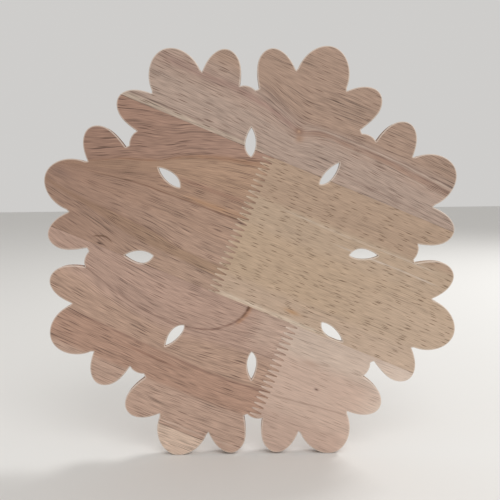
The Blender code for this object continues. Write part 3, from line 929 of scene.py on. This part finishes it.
# Brown block of the middle stave
# The left part of the middle stave as the back shows it. It is glued edge to edge to the staves above and
# below, and ends on the right in machine-cut fingers that are glued into those of the yellow block.
LOWER_SEAM = -30.9
FINGER_PITCH = 3.8
FINGER_LENGTH = 7.3
FINGER_TIP = 0.7
UPPER_JOINT = -13.6
UPPER_JOINT_FINGER = 58.4


def finger_joint(centre, phase, top, bottom, side):
    """The zigzag of a finger joint from top to bottom, drawn back from the glue line on one side.

    side is -1 for the piece on the left, whose fingers are centred on phase, and 1 for the right.
    """
    shift = side * CLEAR
    left = centre - FINGER_LENGTH / 2 + shift
    right = centre + FINGER_LENGTH / 2 + shift
    tip = FINGER_TIP / 2 + shift
    root = (FINGER_PITCH - FINGER_TIP) / 2 + shift
    first = math.floor((phase - top) / FINGER_PITCH) - 1
    last = math.ceil((phase - bottom) / FINGER_PITCH) + 1
    zigzag = []
    for finger in range(first, last + 1):
        level = phase - finger * FINGER_PITCH
        zigzag += [(left, level + root), (right, level + tip), (right, level - tip), (left, level - root)]
    alongs, levels = zip(*zigzag[::-1])
    ends = np.interp((top, bottom), levels, alongs)
    return [(ends[0], top)] + [p for p in zigzag if bottom < p[1] < top] + [(ends[1], bottom)]


joint = finger_joint(UPPER_JOINT, UPPER_JOINT_FINGER, UPPER_SEAM - CLEAR, LOWER_SEAM + CLEAR, -1)
BROWN_BLOCK = [(-REACH, UPPER_SEAM - CLEAR), (-REACH, LOWER_SEAM + CLEAR)] + joint[::-1]
brown = Board("brown_rubberwood", (0.42, 0.285, 0.215), 0.9)

# The growth lines fan out from the left tip of the piece
brown.follow([
    (-21.0, [
        (-150.0, -3.0), (-110.0, -10.0), (-96.0, -13.0),
        (-68.0, -18.0), (-40.0, -19.5), (-14.0, -21.0),
    ]),
    (-13.0, [(-150.0, 0.0), (-123.0, -5.5), (-86.0, -6.5), (-61.0, -8.6), (-48.0, -11.7), (-14.0, -13.5)]),
    (0.0, [(-150.0, 4.0), (-123.0, 3.0), (-78.0, 2.0), (-14.0, 0.0)]),
    (18.0, [(-150.0, 7.5), (-130.0, 8.0), (-107.0, 12.0), (-86.0, 15.0), (-56.0, 16.4), (-14.0, 18.0)]),
    (29.5, [
        (-150.0, 9.0), (-133.0, 10.0), (-107.0, 15.5), (-86.0, 22.0),
        (-70.0, 26.5), (-48.0, 28.5), (-14.0, 29.5),
    ]),
    (58.0, [
        (-150.0, 11.0), (-128.0, 13.0), (-113.0, 19.5), (-98.0, 27.0),
        (-76.0, 34.5), (-64.0, 42.0), (-45.0, 50.0), (-14.0, 58.0),
    ]),
    (100.0, [(-150.0, 85.0), (-14.0, 100.0)]),
])
brown.bands(
    (-21.0, (0.365, 0.24, 0.165), 1.5),
    (-13.0, (0.425, 0.285, 0.215), 1.5),
    (0.0, (0.41, 0.27, 0.20), 3.0),
    (18.0, (0.38, 0.245, 0.175), 1.0),
    (32.0, (0.40, 0.26, 0.18), 3.0),
    (57.0, (0.365, 0.23, 0.175), 2.0),
)
brown.wash((0.27, 0.155, 0.11), (1.0 - smooth(brown.along, -125.0, -25.0)) * 0.5)
brown.streaks(
    (56.0, -120.0, -15.0, 2.2, (0.31, 0.165, 0.10), 0.7),
    (29.5, -60.0, -15.0, 1.6, (0.30, 0.17, 0.12), 0.6),
    (28.0, -125.0, -80.0, 1.2, (0.22, 0.135, 0.095), 0.5),
    (20.5, -50.0, -14.0, 1.6, (0.42, 0.23, 0.115), 0.5),
    (18.0, -110.0, -14.0, 0.6, (0.19, 0.10, 0.065), 0.8),
    (9.0, -76.0, -20.0, 0.5, (0.24, 0.15, 0.11), 0.5),
    (-13.5, -115.0, -50.0, 0.6, (0.25, 0.15, 0.12), 0.5),
    (-19.0, -96.0, -66.0, 0.6, (0.24, 0.15, 0.11), 0.6),
)
brown.patch((-131.0, 3.0), (7.0, 2.5), (0.19, 0.12, 0.10), 0.5)
brown.patch((-14.0, 16.8), (2.5, 0.6), (0.06, 0.035, 0.03), 0.9)

# A small crack in an arch over an open slot, near the lower seam
crack = brown.run([
    (-100.0, -28.0), (-97.0, -26.2), (-94.0, -25.0), (-90.6, -24.0), (-86.0, -25.1), (-82.0, -27.0),
])
brown.streak(brown.across - crack, -97.5, -85.5, 0.5, (0.17, 0.095, 0.06), 1.0, 1.5)
brown.patch((-92.3, -29.2), (2.3, 0.5), (0.04, 0.02, 0.015), 1.0)

# The fingers are darker
brown.wash((0.22, 0.125, 0.085), smooth(brown.along, UPPER_JOINT - 1.0, UPPER_JOINT + 3.5) * 0.5)
brown.figure(0.3, 0.35, 0.7, 0.8, seed=30.0)
brown.pores((0.11, 0.06, 0.045), 0.9, length=7.0, seed=2.0)
carved_board("middle_stave_brown", BROWN_BLOCK, brown.wood())

# Yellow block of the middle stave
# The right part of the middle stave, of yellowish rubberwood with a straight grain. Its fingers fit between
# those of the brown block, and its edges are glued to the staves above and below.
joint = finger_joint(UPPER_JOINT, UPPER_JOINT_FINGER, UPPER_SEAM - CLEAR, LOWER_SEAM + CLEAR, 1)
YELLOW_BLOCK = joint + [(REACH, LOWER_SEAM + CLEAR), (REACH, UPPER_SEAM - CLEAR)]
yellow = Board("yellow_rubberwood", (0.50, 0.37, 0.275), 1.1)
yellow.bands(
    (-16.0, (0.485, 0.355, 0.25), 4.0),
    (18.0, (0.465, 0.345, 0.25), 4.0),
    (37.0, (0.43, 0.305, 0.22), 2.0),
)
lower_right = smooth(yellow.along, 40.0, 120.0) * (1.0 - smooth(yellow.across, 0.0, 30.0))
yellow.wash((0.54, 0.41, 0.315), lower_right * 0.5)
yellow.streaks(
    (34.5, 10.0, 110.0, 0.8, (0.56, 0.46, 0.37), 0.6),
    (26.5, 50.0, 115.0, 0.5, (0.60, 0.52, 0.45), 0.7),
    (-29.4, -10.0, 60.0, 1.3, (0.66, 0.55, 0.44), 0.8),
)
yellow.patch((38.0, -23.5), (5.0, 1.4), (0.42, 0.24, 0.12), 0.8)

# The fingers are paler
yellow.wash((0.62, 0.50, 0.39), (1.0 - smooth(yellow.along, UPPER_JOINT - 3.5, UPPER_JOINT + 1.5)) * 0.6)
yellow.figure(0.15, 0.25, 0.4, 0.6, seed=40.0)
yellow.pores((0.13, 0.075, 0.04), 1.0, length=4.0, seed=3.0)
carved_board("middle_stave_yellow", YELLOW_BLOCK, yellow.wood())

# Tan block of the lower stave
# The left part of the lower stave, of pinkish tan rubberwood, glued to the stave above and by fingers to the
# pale block. It also takes in a crumb of the bottom stave, and leaves room below for the tip of that stave.
LOWER_JOINT = 41.6
LOWER_JOINT_FINGER = -36.2
LOWER_JOINT_END = -98.6
LOWER_JOINT_OUTSIDE = 44.6
BOTTOM_SEAM = -124.0
BOTTOM_STAVE_REACH = 22.0

joint = finger_joint(LOWER_JOINT, LOWER_JOINT_FINGER, LOWER_SEAM - CLEAR, LOWER_JOINT_END, -1)
outside = LOWER_JOINT_OUTSIDE - CLEAR
TAN_BLOCK = [(-REACH, LOWER_SEAM - CLEAR), (-REACH, -REACH), (-BOTTOM_STAVE_REACH, -REACH)]
TAN_BLOCK += [(-BOTTOM_STAVE_REACH, BOTTOM_SEAM + CLEAR), (BOTTOM_STAVE_REACH, BOTTOM_SEAM + CLEAR)]
TAN_BLOCK += [(BOTTOM_STAVE_REACH, -REACH), (outside, -REACH), (outside, LOWER_JOINT_END)] + joint[::-1]
tan = Board("tan_rubberwood", (0.495, 0.34, 0.265), 0.7)
tan.follow([
    (-99.0, [(-112.0, -97.0), (0.0, -99.0), (40.0, -98.0)]),
    (-80.0, [(-112.0, -73.5), (-92.0, -75.7), (-49.0, -78.6), (-23.0, -80.3), (0.0, -81.0), (40.0, -78.5)]),
    (-70.0, [(-112.0, -61.5), (-55.0, -68.6), (-32.0, -70.7), (-10.0, -68.0), (16.0, -64.5), (40.0, -63.5)]),
    (-59.0, [
        (-112.0, -44.0), (-93.0, -48.0), (-79.0, -52.0), (-49.0, -58.6),
        (-32.0, -59.3), (0.0, -57.0), (40.0, -54.0),
    ]),
    (-40.0, [(-112.0, -31.0), (-60.0, -39.0), (-20.0, -41.0), (40.0, -38.0)]),
])
tan.bands(
    (-99.0, (0.43, 0.27, 0.20), 2.0),
    (-79.5, (0.455, 0.305, 0.23), 1.5),
    (-64.0, (0.445, 0.30, 0.238), 4.0),
)
tan.wash((0.49, 0.35, 0.28), smooth(tan.along, 12.0, 26.0) * smooth(tan.across, -62.0, -46.0))

# One growth line turns up to the seam in a hook
HOOK_CENTRE = (-32.6, -31.0)
HOOK_REACH = (43.8, 28.3)
hook_along = (tan.along - HOOK_CENTRE[0]) / HOOK_REACH[0]
hook_across = (tan.across - HOOK_CENTRE[1]) / HOOK_REACH[1]
hook = ((hook_along * hook_along + hook_across * hook_across).root() - 1.0) * HOOK_REACH[1]
tan.streak(hook, HOOK_CENTRE[0], REACH, 0.6, (0.20, 0.11, 0.08), 0.85, 14.0)
tan.streak(hook - 0.8, 8.0, REACH, 0.8, (0.42, 0.21, 0.11), 0.7, 2.0)
tan.streak(hook, 9.0, REACH, 0.6, (0.12, 0.055, 0.03), 0.8, 2.0)
tan.streaks(
    (-59.0, -94.0, HOOK_CENTRE[0], 0.7, (0.21, 0.13, 0.10), 0.7),
    (-70.0, -60.0, -35.0, 0.7, (0.24, 0.15, 0.12), 0.5),
    (-71.8, -55.0, -44.0, 0.4, (0.12, 0.075, 0.06), 0.9, 2.0),
    (-80.0, -92.0, 40.0, 0.6, (0.20, 0.11, 0.085), 0.65),
    (-85.5, -55.0, -18.0, 0.8, (0.25, 0.13, 0.09), 0.6),
    (-99.0, -5.0, 35.0, 0.7, (0.24, 0.15, 0.11), 0.5),
    (-111.4, -25.0, -10.0, 0.4, (0.20, 0.13, 0.10), 0.7, 3.0),
    (-121.0, -20.0, 36.0, 0.6, (0.64, 0.49, 0.40), 0.7),
)

# The fingers are darker
tan.wash((0.26, 0.15, 0.10), smooth(tan.along, LOWER_JOINT - 1.0, LOWER_JOINT + 3.5) * 0.4)
tan.figure(0.25, 0.35, 0.7, 0.8, seed=50.0)
tan.pores((0.14, 0.08, 0.06), 0.9, length=7.0, seed=4.0)
carved_board("lower_stave_tan", TAN_BLOCK, tan.wood())

# Pale block of the lower stave
# The right part of the lower stave, the palest rubberwood of the panel. Its fingers are glued between those
# of the tan block, and it too takes in a crumb of the bottom stave.
joint = finger_joint(LOWER_JOINT, LOWER_JOINT_FINGER, LOWER_SEAM - CLEAR, LOWER_JOINT_END, 1)
outside = LOWER_JOINT_OUTSIDE + CLEAR
PALE_BLOCK = joint + [(outside, LOWER_JOINT_END), (outside, -REACH)]
PALE_BLOCK += [(REACH, -REACH), (REACH, LOWER_SEAM - CLEAR)]
pale = Board("pale_rubberwood", (0.55, 0.395, 0.32), 0.6)
pale.bands(
    (-88.0, (0.585, 0.43, 0.35), 4.0),
    (-50.0, (0.585, 0.46, 0.38), 5.0),
)
pale.wash((0.70, 0.57, 0.48), smooth(pale.along, 95.0, 120.0) * 0.7)
rising_line = pale.run([(44.0, -79.0), (70.0, -76.0), (98.0, -73.0)])
pale.streak(pale.across - rising_line, 46.0, 100.0, 0.6, (0.28, 0.18, 0.14), 0.5)
pale.patch((72.0, -64.5), (1.4, 0.7), (0.12, 0.06, 0.05), 0.9)
pale.patch((62.0, -50.0), (6.0, 1.8), (0.40, 0.27, 0.21), 0.6)

# The fingers are paler
pale.wash((0.68, 0.56, 0.48), (1.0 - smooth(pale.along, LOWER_JOINT - 3.5, LOWER_JOINT + 1.5)) * 0.6)
pale.figure(0.2, 0.25, 0.35, 0.45, seed=60.0)
pale.pores((0.25, 0.16, 0.12), 0.6, length=6.0, seed=5.0)
carved_board("lower_stave_pale", PALE_BLOCK, pale.wood())

# Tip cut from the bottom stave
# The end of one leaf lobe, of cream rubberwood. It is all that the saw left of the lowest stave, glued edge
# to edge under the tan block.
wide = BOTTOM_STAVE_REACH - CLEAR
BOTTOM_TIP = [(wide, BOTTOM_SEAM - CLEAR), (-wide, BOTTOM_SEAM - CLEAR), (-wide, -REACH), (wide, -REACH)]
cream = Board("cream_rubberwood", (0.64, 0.485, 0.385), 0.8)
cream.figure(0.2, 0.35, 0.6, 0.8, seed=70.0)
cream.pores((0.22, 0.14, 0.10), 0.9, length=6.0, seed=6.0)
carved_board("bottom_stave_tip", BOTTOM_TIP, cream.wood())

# The saw cuts were only drawn to measure from
for thing in (SAW_CUT, PIERCINGS):
    bpy.data.objects.remove(thing, do_unlink=True)

# Studio, in metres
# A painted floor that touches the lowest leaf tips, even light from all around, and a soft lamp on either
# face of the rosette. None of it belongs to the part.
FLOOR_SIZE = 12.0
FLOOR_TONE = (0.72, 0.71, 0.69)
FLOOR_ROUGHNESS = 0.8
AIR_TONE = (1.0, 0.985, 0.965)
AIR_STRENGTH = 0.62

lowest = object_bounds()[0]
bpy.ops.mesh.primitive_plane_add(size=FLOOR_SIZE, location=(0.0, 0.0, lowest.z))
floor = bpy.context.object
floor.name = "floor"
paint = bpy.data.materials.new("floor_paint")
paint.use_nodes = True
coat = paint.node_tree.nodes["Principled BSDF"]
coat.inputs["Base Color"].default_value = (*FLOOR_TONE, 1.0)
coat.inputs["Roughness"].default_value = FLOOR_ROUGHNESS
floor.data.materials.append(paint)

world = bpy.data.worlds.new("studio")
bpy.context.scene.world = world
world.use_nodes = True
air = world.node_tree.nodes["Background"]
air.inputs["Color"].default_value = (*AIR_TONE, 1.0)
air.inputs["Strength"].default_value = AIR_STRENGTH


def soft_light(name, place, size, watts):
    """A square lamp that points to the middle of the rosette's back."""
    lamp = bpy.data.lights.new(name, "AREA")
    lamp.shape = "SQUARE"
    lamp.size = size
    lamp.energy = watts
    thing = added(name, lamp)
    thing.location = place
    thing.rotation_euler = Vector(place).to_track_quat("Z", "Y").to_euler()


soft_light("light_on_the_back", (-0.5, 1.6, 1.4), size=1.4, watts=18.0)
soft_light("light_on_the_carving", (-1.2, -0.9, 1.1), size=0.5, watts=16.0)

# Camera, square to the back but for a look 4.9 degrees down and a roll of 0.7 degrees
TILT = math.radians(4.88)
ROLL = math.radians(0.718)
CENTRE_IN_VIEW = (0.848, -3.534, -442.07)
LENS = 50.0
SENSOR = 36.0
backward = Vector((-math.sin(TILT) * math.sin(ROLL), math.cos(TILT), math.sin(TILT) * math.cos(ROLL)))
rightward = Vector((-math.cos(ROLL), 0.0, -math.sin(ROLL)))
upward = backward.cross(rightward)
axes = Matrix((rightward, upward, backward)).transposed()
camera_data = bpy.data.cameras.new("camera")
camera_data.lens = LENS
camera_data.sensor_width = SENSOR
camera = added("camera", camera_data)
camera.matrix_world = Matrix.Translation(axes @ Vector(CENTRE_IN_VIEW) * -MM) @ axes.to_4x4()
bpy.context.scene.camera = camera
bpy.context.scene.view_settings.view_transform = "Standard"
